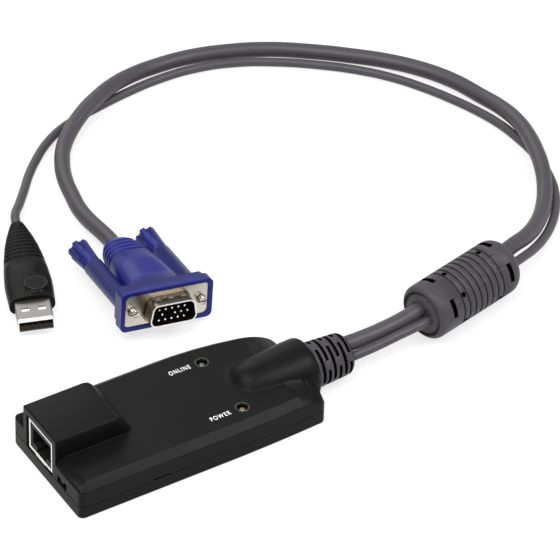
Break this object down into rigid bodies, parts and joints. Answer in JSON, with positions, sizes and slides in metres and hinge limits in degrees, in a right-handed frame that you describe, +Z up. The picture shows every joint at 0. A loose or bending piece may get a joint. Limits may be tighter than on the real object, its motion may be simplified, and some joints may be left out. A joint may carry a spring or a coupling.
{
  "type": "usb kvm adapter",
  "caption": "Flat adapter housing with a network socket at one end, and two cords through a ferrite to a video plug with thumbscrews and a data plug.",
  "frame": {"origin": "middle of the housing's underside, with the cords and their plugs left out", "axes": "+X along the housing towards the cords, +Y towards the side that the plugs lie on, +Z up"},
  "size_m": [0.2351, 0.1937, 0.021],
  "materials": {
    "housing": "satin",
    "board": "satin",
    "chips": "matte",
    "bright_steel": "satin",
    "black_plastic": "matte",
    "contact_gold": "polished",
    "green_lens": "gloss",
    "amber_lens": "gloss",
    "white_plastic": "satin",
    "wire_insulation": "satin",
    "dark_steel": "satin",
    "grey_moulding": "matte",
    "ferrite": "matte",
    "cord_jacket": "satin",
    "blue_moulding": "satin",
    "nickel": "satin",
    "black_moulding": "satin"
  },
  "bodies": {
    "adapter": {"top_cover": "housing", "bottom_cover": "housing", "circuit_board": "board", "board_chips": "chips", "jack_shield": "bright_steel", "jack_insert": "black_plastic", "jack_contacts": "contact_gold", "online_led": "green_lens", "power_led": "amber_lens", "led_spacers": "black_plastic", "switch_case": "bright_steel", "cord_header": "white_plastic", "core_wires": "wire_insulation", "cord_ties": "white_plastic", "case_screws": "dark_steel", "strain_relief": "grey_moulding", "ferrite_sleeve": "grey_moulding", "ferrite_core": "ferrite", "vga_cord": "cord_jacket", "usb_cord": "cord_jacket", "vga_hood": "blue_moulding", "vga_shell": "nickel", "vga_insulator": "black_plastic", "vga_pins": "contact_gold", "usb_boot": "black_moulding", "usb_shell": "bright_steel", "usb_tongue": "black_plastic", "usb_contacts": "contact_gold"},
    "slider": {"switch_slider": "black_plastic"},
    "left_float": {"left_clip": "nickel"},
    "left_screw": {"left_thumbscrew": "blue_moulding"},
    "right_float": {"right_clip": "nickel"},
    "right_screw": {"right_thumbscrew": "blue_moulding"}
  },
  "joints": [
    {"name": "switch_slide", "type": "slide", "parent": "adapter", "child": "slider", "axis": [0, -1, 0], "range_m": [0, 0.002]},
    {"name": "left_screw_slide", "type": "slide", "parent": "adapter", "child": "left_float", "axis": [0.0917, 0.9883, -0.1219], "range_m": [0, 0.004]},
    {"name": "left_screw_turn", "type": "hinge", "parent": "left_float", "child": "left_screw", "pos_m": [0.01054, 0.04671, 0.0116], "axis": [0.0917, 0.9883, -0.1219], "continuous": true},
    {"name": "right_screw_slide", "type": "slide", "parent": "adapter", "child": "right_float", "axis": [0.0917, 0.9883, -0.1219], "range_m": [0, 0.004]},
    {"name": "right_screw_turn", "type": "hinge", "parent": "right_float", "child": "right_screw", "pos_m": [0.03526, 0.04409, 0.009], "axis": [0.0917, 0.9883, -0.1219], "continuous": true}
  ]
}
